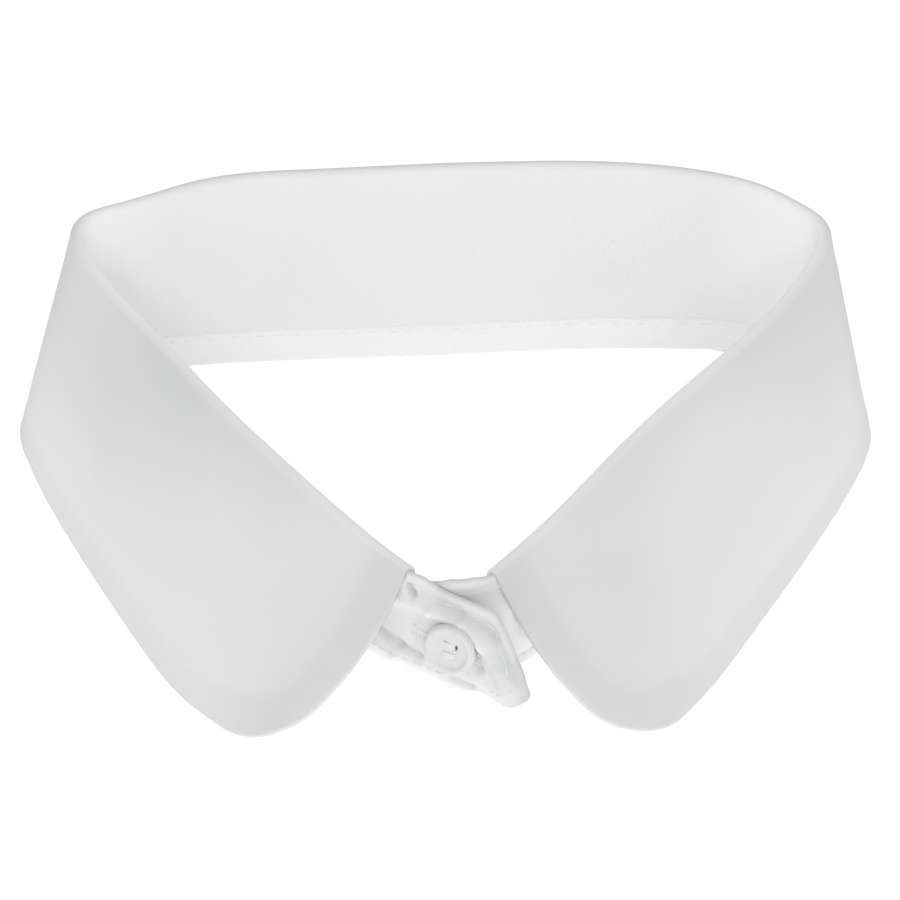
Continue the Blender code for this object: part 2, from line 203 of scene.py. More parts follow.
UNDER_CREASES = (
    (-5.0, 9.0, 1.6, 9.0, 3.70, 6.0),            # the lit strip stands forward
    (-12.0, 13.4, 3.4, 13.6, 0.50, 0.9),
    (-3.0, 17.2, 6.0, 17.2, -0.50, 1.6),         # hollow above it, in shadow
    (9.0, 17.4, 16.0, 16.6, 0.80, 2.2),
    (3.0, 20.4, 14.0, 19.6, 0.35, 0.7),          # turned top edge
    (-12.0, 1.6, 16.0, 1.6, 0.30, 1.0),
    (-12.0, 3.3, 16.0, 3.3, -0.25, 0.7),
)

# Painted light and shade on the tabs' cloth, laid out as their puckers are: lighter on raised folds
# and borders, darker in grooves, pits, hollows and round the button.
OVER_PAINTED_SHADING = (
    (10.0, 17.2, 20.4, 16.4, -0.43, 1.8),        # painted shade between the raised fold and the free end
    (20.8, 16.4, 25.6, 9.0, -0.47, 2.6),
    (25.6, 9.0, 28.0, 3.6, -0.39, 2.0),
    (25.0, 0.6, 27.4, 2.6, -0.23, 1.2),
    (3.0, 17.2, 10.0, 17.2, -0.17, 1.6),
    (-4.0, 13.6, 7.6, 14.2, 0.19, 0.8),          # painted light on that fold
    (7.6, 14.2, 14.2, 14.2, 0.23, 0.8),
    (14.2, 14.2, 18.8, 12.0, 0.25, 0.8),
    (11.0, 9.0, 11.2, 9.0, -0.16, 6.8),
    (-10.0, 1.7, 9.0, 1.2, 0.39, 2.4),
    (9.0, 1.2, 16.0, 0.8, 0.27, 1.4),
    (2.0, 17.4, 3.0, 16.4, -0.31, 0.9),
    (-6.0, 10.0, 0.0, 12.0, 0.23, 2.6),
    (-4.0, 6.4, 6.6, 4.2, -0.35, 0.8),
    (13.6, 2.4, 17.4, 2.0, -0.27, 0.7),
    (16.4, 10.8, 18.6, 6.4, -0.33, 1.0),
    (18.8, 12.0, 21.0, 9.0, 0.12, 0.8),
    (20.4, 10.0, 23.4, 4.0, -0.24, 2.0),
)
UNDER_PAINTED_SHADING = (
    # painted light on the strip that stands forward
    (-10.0, 7.0, 6.0, 7.0, 0.70, 7.0),
    # painted shade in the hollow above it
    (0.0, 17.4, 9.0, 17.6, -0.30, 2.0),
)

# Seam allowances inside the edges: widths, and how far they lift the cloth.
OUTER_ALLOWANCE = 5.6
FRONT_ALLOWANCE = 7.2
ALLOWANCE_SOFT = 1.1
ALLOWANCE_RISE = 0.16
STAND_SETTLES = 0.3       # share of the stand over which it flattens towards the binding
PUCKER_PITCH = 5.3        # of the tiny waves that a seam draws into its edge
PUCKER_RISE = 0.05

STITCH_LENGTH = 2.0
STITCH_GAP = 0.5
THREAD_RADIUS = 0.14
SATIN_PITCH = 0.34        # of the close stitches round the buttonhole
BAND_STITCH_INSET = 1.2   # rows of stitches, from the edges of the binding and of the tabs
TAB_STITCH_INSET = 2.0

# How white the cloth is painted in each place, from 0, the greyer shade, to 1. Much of it is
# painted light and shade, as noted at each.
# The stand is painted lighter than the fall, for light that shines through its thin cloth; the
# fall's interlined cloth is also a little greyer.
STAND_TONE = 0.64
CORNER_PAINTED_LIGHT = 1.0         # painted light inside the two back corners, where shade falls
CORNER_FROM = 55.0        # distance from the centre back where the painted light on the stand starts
CORNER_SPAN = 25.0
FALL_TONE = 0.28          # by the roll, painted darker there as shade
FALL_PAINTED_LIGHTENING = 0.36     # painted light, rising from there to the outer edge
ALLOWANCE_PAINTED_SHADE = 0.11       # painted shade where the seam allowance lies under the cloth, for less light through the thicker cloth
BAND_TONE = 0.83
TAB_TONE = 0.54


class RollLine:
    """Smooth columns of the section table, by distance along the roll from the centre back."""

    def __init__(self, rows):
        self.rows = np.array(rows, dtype=float)
        steps = np.hypot(np.diff(self.rows[:, 0]), np.diff(self.rows[:, 1]))
        self.keys = np.concatenate([[0.0], np.cumsum(steps)])
        self.keys -= self.keys[CENTRE]
        self.bends = self.second_slopes()

    def second_slopes(self):
        """Second derivatives of the natural cubic spline through the rows."""
        count = len(self.keys)
        gaps = np.diff(self.keys)
        matrix = np.eye(count)
        target = np.zeros_like(self.rows)
        for i in range(1, count - 1):
            matrix[i, i - 1] = gaps[i - 1]
            matrix[i, i] = 2.0 * (gaps[i - 1] + gaps[i])
            matrix[i, i + 1] = gaps[i]
            after = (self.rows[i + 1] - self.rows[i]) / gaps[i]
            before = (self.rows[i] - self.rows[i - 1]) / gaps[i - 1]
            target[i] = 6.0 * (after - before)
        return np.linalg.solve(matrix, target)

    def at(self, along):
        """The columns at these distances, angles in radians."""
        along = np.asarray(along, dtype=float)
        i = np.clip(np.searchsorted(self.keys, along) - 1, 0, len(self.keys) - 2)
        gap = (self.keys[i + 1] - self.keys[i])[..., None]
        a = (self.keys[i + 1] - along)[..., None] / gap
        b = 1.0 - a
        value = a * self.rows[i] + b * self.rows[i + 1]
        curve = (a ** 3 - a) * self.bends[i] + (b ** 3 - b) * self.bends[i + 1]
        value = value + curve * gap * gap / 6.0
        section = {name: value[..., k] for k, name in enumerate(COLUMNS)}
        for angle in ("face", "lean", "flare"):
            section[angle] = np.radians(section[angle])
        return section


ROLL = RollLine(SECTIONS)
LEFT_LENGTH = -ROLL.keys[LEFT_END]
RIGHT_LENGTH = ROLL.keys[RIGHT_END]


# Shape of the collar, in millimetres in the neck plane.
def place(section, outward, height):
    """Points this far outward from the crest, in the sections' own directions."""
    x = section["x"] + np.cos(section["face"]) * outward
    y = section["y"] + np.sin(section["face"]) * outward
    return np.stack([x, y, height + 0.0 * x], axis=-1)


def stand_length(section):
    rise = section["top"] - section["foot"] - ROLL_RADIUS * (1.0 - np.sin(section["lean"]))
    return rise / np.cos(section["lean"])


def stand_point(along, up, lift):
    """On the stand: up from the neck edge, and lifted outward from its inside face."""
    section = ROLL.at(along)
    lean = section["lean"]
    left = stand_length(section) - up
    outward = -ROLL_RADIUS * np.cos(lean) - left * np.sin(lean) + lift * np.cos(lean)
    height = section["foot"] + up * np.cos(lean) - lift * np.sin(lean)
    return place(section, outward, height)


def roll_point(along, share, inset):
    """On the fold, from the stand (share 0) to the fall (share 1)."""
    section = ROLL.at(along)
    lean = section["lean"]
    turn = lean + share * (math.pi - section["flare"] - lean)
    radius = ROLL_RADIUS - inset
    height = section["top"] - ROLL_RADIUS + radius * np.sin(turn)
    return place(section, -radius * np.cos(turn), height)


def fall_point(along, share, inset, short):
    """On the fall, from the fold (share 0) to its outer edge (share 1)."""
    section = ROLL.at(along)
    flare = section["flare"]
    radius = ROLL_RADIUS - inset
    depth = share * (section["fall"] - short)
    outward = radius * np.cos(flare) + depth * np.sin(flare)
    height = section["top"] - ROLL_RADIUS + radius * np.sin(flare) - depth * np.cos(flare)
    return place(section, outward, height)


def leaf_end(side, share):
    """Where the leaf's front edge lies along the roll, at this share of the fall's depth."""
    cut = LEAVES[side]
    length = LEFT_LENGTH if side == "left" else RIGHT_LENGTH
    into_tip = max(0.0, share - (1.0 - cut["tip_depth"])) / cut["tip_depth"]
    rounded = cut["tip_along"] * (1.0 - math.sqrt(max(0.0, 1.0 - into_tip ** 2)))
    bowed = cut["swell"] * math.sin(math.pi * share)
    return length - cut["back"] * share + bowed - rounded


def fall_along(columns, share, short):
    """Distances along the roll for the fall's columns, drawn back near the front edges."""
    left = (leaf_end("left", share) - LEFT_LENGTH) * (columns / (LEFT_LENGTH - short)) ** 4
    right = (leaf_end("right", share) - RIGHT_LENGTH) * (columns / (RIGHT_LENGTH - short)) ** 4
    left_side = columns + left * columns / (LEFT_LENGTH - short)
    right_side = columns + right * columns / (RIGHT_LENGTH - short)
    return np.where(columns < 0.0, left_side, right_side)


def collar_grid(column_count, inset, short, stand_steps, roll_steps, fall_steps, tip_steps):
    """The collar's points at this depth, with how far along and from the roll each lies."""
    columns = np.linspace(-(LEFT_LENGTH - short), RIGHT_LENGTH - short, column_count)
    section = ROLL.at(columns)
    length = stand_length(section)
    arc = ROLL_RADIUS * (math.pi - section["flare"] - section["lean"])
    points, places = [], []
    for step in range(stand_steps):
        up = BAND_HEIGHT - BAND_IN + (length - BAND_HEIGHT + BAND_IN) * step / stand_steps
        points.append(stand_point(columns, up, inset))
        places.append(np.stack([columns, up - length], axis=-1))
    for step in range(roll_steps + 1):
        share = step / roll_steps
        points.append(roll_point(columns, share, inset))
        places.append(np.stack([columns, arc * share], axis=-1))
    straight = 1.0 - LEAVES["left"]["tip_depth"]
    shares = [straight * (step + 1) / fall_steps for step in range(fall_steps)]
    for step in range(1, tip_steps + 1):
        turn = 0.5 * math.pi * step / tip_steps
        shares.append(straight + (1.0 - straight) * math.sin(turn))
    for share in shares:
        along = fall_along(columns, share, short)
        points.append(fall_point(along, share, inset, short))
        depth = share * (ROLL.at(along)["fall"] - short)
        places.append(np.stack([along, arc + depth], axis=-1))
    return np.array(points), np.array(places), stand_steps + roll_steps


def grid_normals(points):
    """Unit normals of a grid of points, on the side that its faces will look to."""
    across = np.gradient(points, axis=1)
    down = np.gradient(points, axis=0)
    normals = np.cross(across, down)
    return normals / np.linalg.norm(normals, axis=-1, keepdims=True)


def creases(places, table):
    """Height of the soft troughs and ridges at these places."""
    total = np.zeros(places.shape[:-1])
    for x0, y0, x1, y1, height, width in table:
        start = np.array([x0, y0])
        run = np.array([x1 - x0, y1 - y0])
        share = np.clip(((places - start) @ run) / (run @ run), 0.0, 1.0)
        away = np.linalg.norm(places - start - share[..., None] * run, axis=-1)
        total += height * np.exp(-(away / width) ** 2)
    return total


def distance_to(points, line):
    """Least distance from each point of a grid to a line, itself divided finely."""
    steps = np.linalg.norm(np.diff(line, axis=0), axis=1)
    walked = np.concatenate([[0.0], np.cumsum(steps)])
    fine = np.arange(0.0, walked[-1], 0.5)
    line = np.stack([np.interp(fine, walked, line[:, k]) for k in range(3)], axis=-1)
    flat = points.reshape(-1, 3)
    least = np.full(len(flat), np.inf)
    for spot in line:
        np.minimum(least, np.linalg.norm(flat - spot, axis=1), out=least)
    return least.reshape(points.shape[:-1])


def soft_step(value, softness):
    return 1.0 / (1.0 + np.exp(-np.clip(value / softness, -30.0, 30.0)))


def collar_relief(points, places, first_fall):
    """Lift of the cloth from its creases and its turned-in edges, and how white it is."""
    above_band = np.clip(np.arange(len(points)) / (STAND_SETTLES * first_fall) - 0.3, 0.0, 1.0)
    lift = creases(places, COLLAR_CREASES) * above_band[:, None]
    # Painted light: the stand grows whiter towards the back corners, where shade falls.
    corner_light_share = np.clip((np.abs(places[..., 0]) - CORNER_FROM) / CORNER_SPAN, 0.0, 1.0)
    tone = STAND_TONE + (CORNER_PAINTED_LIGHT - STAND_TONE) * corner_light_share
    fall = points[first_fall:]
    outer = distance_to(fall, fall[-1])
    front = np.minimum(distance_to(fall, fall[:, 0]), distance_to(fall, fall[:, -1]))
    inside = np.maximum(soft_step(OUTER_ALLOWANCE - outer, ALLOWANCE_SOFT / 2.0),
                        soft_step(FRONT_ALLOWANCE - front, ALLOWANCE_SOFT / 2.0))
    # Painted shade on the fall: darker by the roll, on its sides and over the seam allowances;
    # painted light towards its outer edge.
    fall_tone = FALL_TONE + FALL_PAINTED_LIGHTENING * np.clip(places[..., 1] / 50.0, 0.0, 1.0)
    fall_tone += creases(places, FALL_PAINTED_SIDE_SHADE)
    fall_tone[first_fall:] -= ALLOWANCE_PAINTED_SHADE * inside
    turned = np.clip((places[..., 1] - 1.6) / 2.4, 0.0, 1.0)
    tone += (fall_tone - tone) * turned
    nearest = np.minimum(outer, front)
    wave = np.sin(places[first_fall:, :, 0] * 2.0 * math.pi / PUCKER_PITCH)
    wave += np.sin(places[first_fall:, :, 1] * 2.0 * math.pi / (PUCKER_PITCH * 1.3))
    lift[first_fall:] += PUCKER_RISE * wave * np.exp(-(nearest / 3.0) ** 2)
    lift[first_fall:] += ALLOWANCE_RISE * (inside - 1.0)
    ramp = np.clip(places[first_fall:, :, 1] / 12.0, 0.0, 1.0)
    lift[first_fall:] *= ramp
    return lift, tone


def outward_edge(points, normals, path):
    """Unit directions in the surface that point out over an edge, at each spot of its path."""
    rows, columns = zip(*path)
    line = points[rows, columns]
    along = np.gradient(line, axis=0)
    out = np.cross(along, normals[rows, columns])
    out /= np.linalg.norm(out, axis=-1, keepdims=True)
    inner = [(min(max(j, 2), points.shape[0] - 3), min(max(i, 2), points.shape[1] - 3))
             for j, i in path]
    inner_rows, inner_columns = zip(*inner)
    away = line - points[inner_rows, inner_columns]
    if np.sum(out * away) < 0.0:
        out = -out
    return out


# Meshes, taken from the neck plane to the frame.
TILT = np.array(Matrix.Rotation(math.radians(NECK_TILT), 3, "X"))


def cloth_object(name, points, faces, places, tones, finish):
    """An object at the origin, with its cloth coordinates as a UV map and its tone."""
    mesh = bpy.data.meshes.new(name)
    mesh.from_pydata((points @ TILT.T * MM).tolist(), [], faces)
    layer = mesh.uv_layers.new(name="cloth")
    corners = np.zeros(len(mesh.loops), dtype=np.int32)
    mesh.loops.foreach_get("vertex_index", corners)
    layer.data.foreach_set("uv", (places[corners] * MM * 10.0).astype(np.float32).ravel())
    tone = mesh.attributes.new("tone", "FLOAT", "POINT")
    tone.data.foreach_set("value", tones.astype(np.float32))
    mesh.shade_smooth()
    mesh.materials.append(finish)
    made = bpy.data.objects.new(name, mesh)
    bpy.context.scene.collection.objects.link(made)
    return made


def grid_faces(rows, columns, first=0, flip=False):
    faces = []
    for j in range(rows - 1):
        for i in range(columns - 1):
            a = first + j * columns + i
            quad = (a, a + 1, a + columns + 1, a + columns)
            faces.append(quad[::-1] if flip else quad)
    return faces


def ring_faces(rings, closed, flip=False):
    """Faces between neighbouring lists of vertex numbers."""
    faces = []
    for lower, upper in zip(rings, rings[1:]):
        count = len(lower)
        for k in range(count if closed else count - 1):
            n = (k + 1) % count
            quad = (lower[k], lower[n], upper[n], upper[k])
            faces.append(quad[::-1] if flip else quad)
    return faces


def thicken(made, thickness):
    """Gives an open cloth its wall, behind the face that shows."""
    wall = made.modifiers.new("wall", "SOLIDIFY")
    wall.thickness = thickness * MM
    wall.offset = -1.0
    wall.use_even_offset = True


def settle(made):
    """Turns an object with modifiers into a plain mesh."""
    graph = bpy.context.evaluated_depsgraph_get()
    plain = bpy.data.meshes.new_from_object(made.evaluated_get(graph))
    made.modifiers.clear()
    made.data = plain
    return made


def make_upper_collar(finish):
    """The ply that shows: inside of the stand, roll, and fall with its edge turned under."""
    points, places, first_fall = collar_grid(360, 0.0, 0.0, 30, 14, 38, 22)
    lift, tone = collar_relief(points, places, first_fall)
    normals = grid_normals(points)
    rows, columns = points.shape[:2]
    path = [(j, 0) for j in range(rows)]
    path += [(rows - 1, i) for i in range(1, columns)]
    path += [(j, columns - 1) for j in range(rows - 2, -1, -1)]
    out = outward_edge(points, normals, path)
    points = points + normals * lift[..., None]
    path_rows, path_columns = zip(*path)
    line = points[path_rows, path_columns]
    behind = -normals[path_rows, path_columns]
    radius = COLLAR_THICK / 2.0
    all_points = [points.reshape(-1, 3)]
    all_places = [places.reshape(-1, 2)]
    all_tones = [tone.reshape(-1)]
    rings = [[j * columns + i for j, i in path]]
    count = rows * columns
    for degrees in (30, 60, 90, 120, 150, 180, None):
        if degrees is None:
            ring = line + behind * COLLAR_THICK - out * EDGE_TUCK
        else:
            turn = math.radians(degrees)
            ring = line + out * radius * math.sin(turn) + behind * radius * (1.0 - math.cos(turn))
        all_points.append(ring)
        all_places.append(places[path_rows, path_columns])
        all_tones.append(tone[path_rows, path_columns])
        rings.append(list(range(count, count + len(path))))
        count += len(path)
    faces = grid_faces(rows, columns) + ring_faces(rings, closed=False, flip=False)
    made = cloth_object("collar_upper", np.concatenate(all_points), faces,
                        np.concatenate(all_places), np.concatenate(all_tones), finish)
    thicken(made, PLY)
    return settle(made)


def make_under_collar(finish):
    """The ply inside the fold, its edges just short of the turned edge."""
    points, places, first_fall = collar_grid(260, COLLAR_THICK, UNDER_BACK, 20, 10, 26, 14)
    lift, tone = collar_relief(points, places, first_fall)
    points = points + grid_normals(points) * lift[..., None]
    rows, columns = points.shape[:2]
    made = cloth_object("collar_under", points.reshape(-1, 3),
                        grid_faces(rows, columns, flip=True), places.reshape(-1, 2),
                        tone.reshape(-1), finish)
    thicken(made, PLY)
    return settle(made)


def band_profile():
    """Points of the folded binding, as height up the stand and lift from its inside face."""
    near, far = -BAND_PROUD, COLLAR_THICK + BAND_PROUD
    middle, half = (near + far) / 2.0, (far - near) / 2.0
    profile = [(BAND_HEIGHT + 0.1, near + BAND_PROUD + 0.1), (BAND_HEIGHT, near + 0.16)]
    profile += [(BAND_HEIGHT - 0.25, near + 0.04), (BAND_HEIGHT - 0.6, near)]
    profile += [(BAND_HEIGHT - 1.0 - 0.6 * k, near) for k in range(9)]
    for degrees in range(0, 181, 20):
        turn = math.radians(degrees)
        profile.append((half * (1.0 - math.sin(turn)), middle - half * math.cos(turn)))
    profile += [(BAND_HEIGHT - 1.0 - 0.6 * k, far) for k in range(8, -1, -1)]
    profile += [(BAND_HEIGHT - 0.6, far), (BAND_HEIGHT - 0.25, far - 0.04)]
    profile += [(BAND_HEIGHT, far - 0.16), (BAND_HEIGHT + 0.1, far - BAND_PROUD - 0.1)]
    return profile


def make_binding(finish):
    """The strip folded over the neck edge, pinched shut at its ends."""
    reach = 0.6
    columns = np.linspace(-(LEFT_LENGTH + reach), RIGHT_LENGTH + reach, 420)
    from_end = np.minimum(columns + LEFT_LENGTH + reach, RIGHT_LENGTH + reach - columns)
    open_share = np.clip(from_end / 1.0, 0.0, 1.0) ** 0.5
    middle = COLLAR_THICK / 2.0
    profile = band_profile()
    ripple = 0.05 * np.sin(columns * 2.0 * math.pi / 4.7) + 0.04 * np.sin(columns * 1.9)
    points, places = [], []
    walked, last = 0.0, profile[0]
    for up, lift in profile:
        walked += math.hypot(up - last[0], lift - last[1])
        last = (up, lift)
        side = 1.0 if lift > middle else -1.0
        pucker = ripple * math.exp(-((BAND_HEIGHT - BAND_STITCH_INSET - up) / 1.6) ** 2)
        spread = middle + (lift - middle) * open_share + side * pucker
        spread += side * (BAND_PLY + 0.02) * (1.0 - open_share)
        points.append(stand_point(columns, up, spread))
        places.append(np.stack([columns, np.full_like(columns, walked)], axis=-1))
    points, places = np.array(points), np.array(places)
    made = cloth_object("neck_binding", points.reshape(-1, 3),
                        grid_faces(len(points), len(columns), flip=True),
                        places.reshape(-1, 2), np.full(len(points) * len(columns), BAND_TONE),
                        finish)
    thicken(made, BAND_PLY)
    return settle(made)


def tab_reach(tab, share):
    """The free end past the roll's end, at this share of the tab's height."""
    shares, reaches = zip(*tab["reach"])
    return np.interp(share, shares, reaches)


def tab_height(tab, past):
    """Length from the tab's lower edge to its top edge."""
    length = LEFT_LENGTH if tab["side"] < 0 else RIGHT_LENGTH
    spots, drops = zip(*tab["drops"])
    return stand_length(ROLL.at(tab["side"] * (length + past))) - np.interp(past, spots, drops)


def tab_tuck(tab, past, height):
    """How far a place is on the thinned edge that tucks up into the fold, from 0 to 1."""
    inside = np.clip(1.0 - past / TUCK_REACH, 0.0, 1.0)
    near_top = np.clip(1.0 - (tab_height(tab, past) - height) / TUCK_DEPTH, 0.0, 1.0)
    return inside * near_top * near_top * (3.0 - 2.0 * near_top)


def tab_spot(tab, past, height, lift):
    """A point on a tab, past the roll's end and above its lower edge."""
    length = LEFT_LENGTH if tab["side"] < 0 else RIGHT_LENGTH
    return stand_point(tab["side"] * (length + past), height, lift)


def make_tab(name, tab, table, tones, finish):
    """A button tab: a closed form of two turned plies, puckered along its stitches."""
    count_along, count_up = 96, 52
    turn = np.linspace(0.0, math.pi, count_up)
    shares = (0.5 - 0.5 * np.cos(turn))[:, None]
    u = np.linspace(0.0, 1.0, count_along)[None, :]
    past = -TAB_LAP + (tab_reach(tab, shares) + TAB_LAP) * u
    spots, feet = zip(*tab["feet"])
    height = tab_height(tab, past) * shares + np.interp(past, spots, feet) * (1.0 - shares) ** 2
    places = np.stack([past, height], axis=-1)
    tuck = tab_tuck(tab, past, height)
    near_stand = TAB_LIFT + (TUCK_LIFT - TAB_LIFT) * tuck
    back = tab_spot(tab, past, height, near_stand)
    front = tab_spot(tab, past, height, near_stand + TAB_THICK + (TUCK_THICK - TAB_THICK) * tuck)
    outward = grid_normals(front) * (1.0 if tab["side"] < 0 else -1.0)
    lift = creases(places, table) * (1.0 - tuck)
    # The tab's tone, with painted light and shade from its table.
    tone = np.clip(TAB_TONE + creases(places, tones), 0.0, 1.0)
    front = front + outward * lift[..., None]
    back = back + outward * (0.6 * lift)[..., None]
    rows, columns = front.shape[:2]
    loop = [(0, i) for i in range(columns)]
    loop += [(j, columns - 1) for j in range(1, rows)]
    loop += [(rows - 1, i) for i in range(columns - 2, -1, -1)]
    loop += [(j, 0) for j in range(rows - 2, 0, -1)]
    normals = grid_normals(front)
    out = outward_edge(front, normals, loop)
    loop_rows, loop_columns = zip(*loop)
    near, far = front[loop_rows, loop_columns], back[loop_rows, loop_columns]
    all_points = [front.reshape(-1, 3)]
    all_places = [places.reshape(-1, 2)]
    all_tones = [tone.reshape(-1)]
    rings = [[j * columns + i for j, i in loop]]
    size = rows * columns
    for degrees in (30, 60, 90, 120, 150):
        turn = math.radians(degrees)
        share = 0.5 - 0.5 * math.cos(turn)
        bulge = np.linalg.norm(far - near, axis=-1, keepdims=True) * 0.35 * math.sin(turn)
        all_points.append(near + (far - near) * share + out * bulge)
        all_places.append(places[loop_rows, loop_columns])
        all_tones.append(tone[loop_rows, loop_columns])
        rings.append(list(range(size, size + len(loop))))
        size += len(loop)
    all_points.append(back.reshape(-1, 3))
    all_places.append(places.reshape(-1, 2))
    all_tones.append(tone.reshape(-1))
    rings.append([size + j * columns + i for j, i in loop])
    mirrored = tab["side"] > 0
    faces = grid_faces(rows, columns, flip=mirrored)
    faces += grid_faces(rows, columns, first=size, flip=not mirrored)
    faces += ring_faces(rings, closed=True, flip=not mirrored)
    return cloth_object(name, np.concatenate(all_points), faces,
                        np.concatenate(all_places), np.concatenate(all_tones), finish)


# Sewing: Geometry Nodes lay one stitch after another along a line on the cloth.
STITCH_INPUTS = (
    ("Spacing", "NodeSocketFloat"),
    ("Stitch length", "NodeSocketFloat"),
    ("Thread radius", "NodeSocketFloat"),
    ("Rise", "NodeSocketFloat"),
    ("Across", "NodeSocketFloat"),
    ("Seed", "NodeSocketInt"),
    ("Thread", "NodeSocketMaterial"),
)


def stitch_tree():
    """One arched stitch, repeated along each line, its ends sunk in the cloth."""
    tree = bpy.data.node_groups.new("stitch_row", "GeometryNodeTree")
    tree.interface.new_socket("Line", in_out="INPUT", socket_type="NodeSocketGeometry")
    for name, kind in STITCH_INPUTS:
        tree.interface.new_socket(name, in_out="INPUT", socket_type=kind)
    tree.interface.new_socket("Stitches", in_out="OUTPUT", socket_type="NodeSocketGeometry")
    given = tree.nodes.new("NodeGroupInput").outputs
    join = tree.links.new

    line = add_node(tree, "GeometryNodeMeshToCurve")
    join(given["Line"], line.inputs["Mesh"])
    spaced = add_node(tree, "GeometryNodeResampleCurve", mode="LENGTH")
    join(line.outputs["Curve"], spaced.inputs["Curve"])
    join(given["Spacing"], spaced.inputs["Length"])

    half = calculate(tree, "MULTIPLY", given["Stitch length"], 0.5)
    back = calculate(tree, "MULTIPLY", half, -1.0)
    sunk = calculate(tree, "MULTIPLY", given["Rise"], -1.0)
    crown = calculate(tree, "MULTIPLY", given["Rise"], 1.8)
    arch = add_node(tree, "GeometryNodeCurveQuadraticBezier")
    arch.inputs["Resolution"].default_value = 6
    for end, x, z in (("Start", back, sunk), ("Middle", None, crown), ("End", half, sunk)):
        spot = add_node(tree, "ShaderNodeCombineXYZ")
        if x is not None:
            join(x, spot.inputs["X"])
        join(z, spot.inputs["Z"])
        join(spot.outputs["Vector"], arch.inputs[end])
    ring = add_node(tree, "GeometryNodeCurvePrimitiveCircle", mode="RADIUS")
    ring.inputs["Resolution"].default_value = 6
    join(given["Thread radius"], ring.inputs["Radius"])
    strand = add_node(tree, "GeometryNodeCurveToMesh")
    strand.inputs["Fill Caps"].default_value = True
    join(arch.outputs["Curve"], strand.inputs["Curve"])
    join(ring.outputs["Curve"], strand.inputs["Profile Curve"])

    way = add_node(tree, "GeometryNodeInputTangent")
    lift = add_node(tree, "GeometryNodeInputNamedAttribute", data_type="FLOAT_VECTOR")
    lift.inputs["Name"].default_value = "lift"
    sideways = add_node(tree, "ShaderNodeVectorMath", operation="CROSS_PRODUCT")
    join(way.outputs["Tangent"], sideways.inputs[0])
    join(lift.outputs["Attribute"], sideways.inputs[1])
    chosen = add_node(tree, "ShaderNodeMix", data_type="VECTOR")
    join(given["Across"], chosen.inputs["Factor"])
    join(way.outputs["Tangent"], chosen.inputs[4])
    join(sideways.outputs["Vector"], chosen.inputs[5])
    along = add_node(tree, "FunctionNodeAlignRotationToVector", axis="X")
    join(chosen.outputs[1], along.inputs["Vector"])
    upright = add_node(tree, "FunctionNodeAlignRotationToVector", axis="Z", pivot_axis="X")
    join(along.outputs["Rotation"], upright.inputs["Rotation"])
    join(lift.outputs["Attribute"], upright.inputs["Vector"])
    uneven = add_node(tree, "FunctionNodeRandomValue", data_type="FLOAT")
    uneven.inputs[2].default_value = 0.9
    uneven.inputs[3].default_value = 1.08
    join(given["Seed"], uneven.inputs["Seed"])

    sewn = add_node(tree, "GeometryNodeInstanceOnPoints")
    join(spaced.outputs["Curve"], sewn.inputs["Points"])
    join(strand.outputs["Mesh"], sewn.inputs["Instance"])
    join(upright.outputs["Rotation"], sewn.inputs["Rotation"])
    join(uneven.outputs[1], sewn.inputs["Scale"])
    real = add_node(tree, "GeometryNodeRealizeInstances")
    join(sewn.outputs["Instances"], real.inputs["Geometry"])
    finish = add_node(tree, "GeometryNodeSetMaterial")
    join(real.outputs["Geometry"], finish.inputs["Geometry"])
    join(given["Thread"], finish.inputs["Material"])
    join(finish.outputs["Geometry"], tree.nodes.new("NodeGroupOutput").inputs["Stitches"])
    return tree


def sew(name, tree, lines, thread, length, spacing, rise, radius=THREAD_RADIUS, across=0.0,
        seed=1):
    """Stitches along lines of points in the neck plane, each with the cloth's outward side."""
    spots = np.concatenate([line for line, lift in lines]) @ TILT.T * MM
    lifts = np.concatenate([lift for line, lift in lines]) @ TILT.T
    edges, first = [], 0
    for line, lift in lines:
        edges += [(first + k, first + k + 1) for k in range(len(line) - 1)]
        first += len(line)
    mesh = bpy.data.meshes.new(name)
    mesh.from_pydata(spots.tolist(), edges, [])
    side = mesh.attributes.new("lift", "FLOAT_VECTOR", "POINT")
    side.data.foreach_set("vector", lifts.astype(np.float32).ravel())
    made = bpy.data.objects.new(name, mesh)
    bpy.context.scene.collection.objects.link(made)
    rows = made.modifiers.new("stitches", "NODES")
    rows.node_group = tree
    values = {"Spacing": spacing * MM, "Stitch length": length * MM,
              "Thread radius": radius * MM, "Rise": rise * MM, "Across": across,
              "Seed": seed, "Thread": thread}
    for socket in tree.interface.items_tree:
        if socket.name in values:
            rows[socket.identifier] = values[socket.name]
    settle(made)
    made.data.shade_smooth()
    return made


def unit(vectors):
    return vectors / np.linalg.norm(vectors, axis=-1, keepdims=True)


def band_line(up, lift, side):
    """A line on the binding, at this height and lift, and its outward side."""
    columns = np.linspace(-LEFT_LENGTH + 0.4, RIGHT_LENGTH - 0.4, 400)
    line = stand_point(columns, up, lift)
    return line, unit((stand_point(columns, up, lift + 1.0) - line) * side)


def tab_line(tab, table, spots):
    """A line on the face of a tab through spots past the roll's end and above its edge."""
    spots = np.array(spots, dtype=float)
    walked = np.concatenate([[0.0], np.cumsum(np.linalg.norm(np.diff(spots, axis=0), axis=1))])
    fine = np.linspace(0.0, walked[-1], 120)
    past = np.interp(fine, walked, spots[:, 0])
    height = np.interp(fine, walked, spots[:, 1])
    tuck = tab_tuck(tab, past, height)
    lift = TAB_LIFT + TAB_THICK + (TUCK_LIFT + TUCK_THICK - TAB_LIFT - TAB_THICK) * tuck
    lift += creases(np.stack([past, height], axis=-1), table) * (1.0 - tuck)
    line = tab_spot(tab, past, height, lift)
    return line, unit(tab_spot(tab, past, height, lift + 1.0) - line)


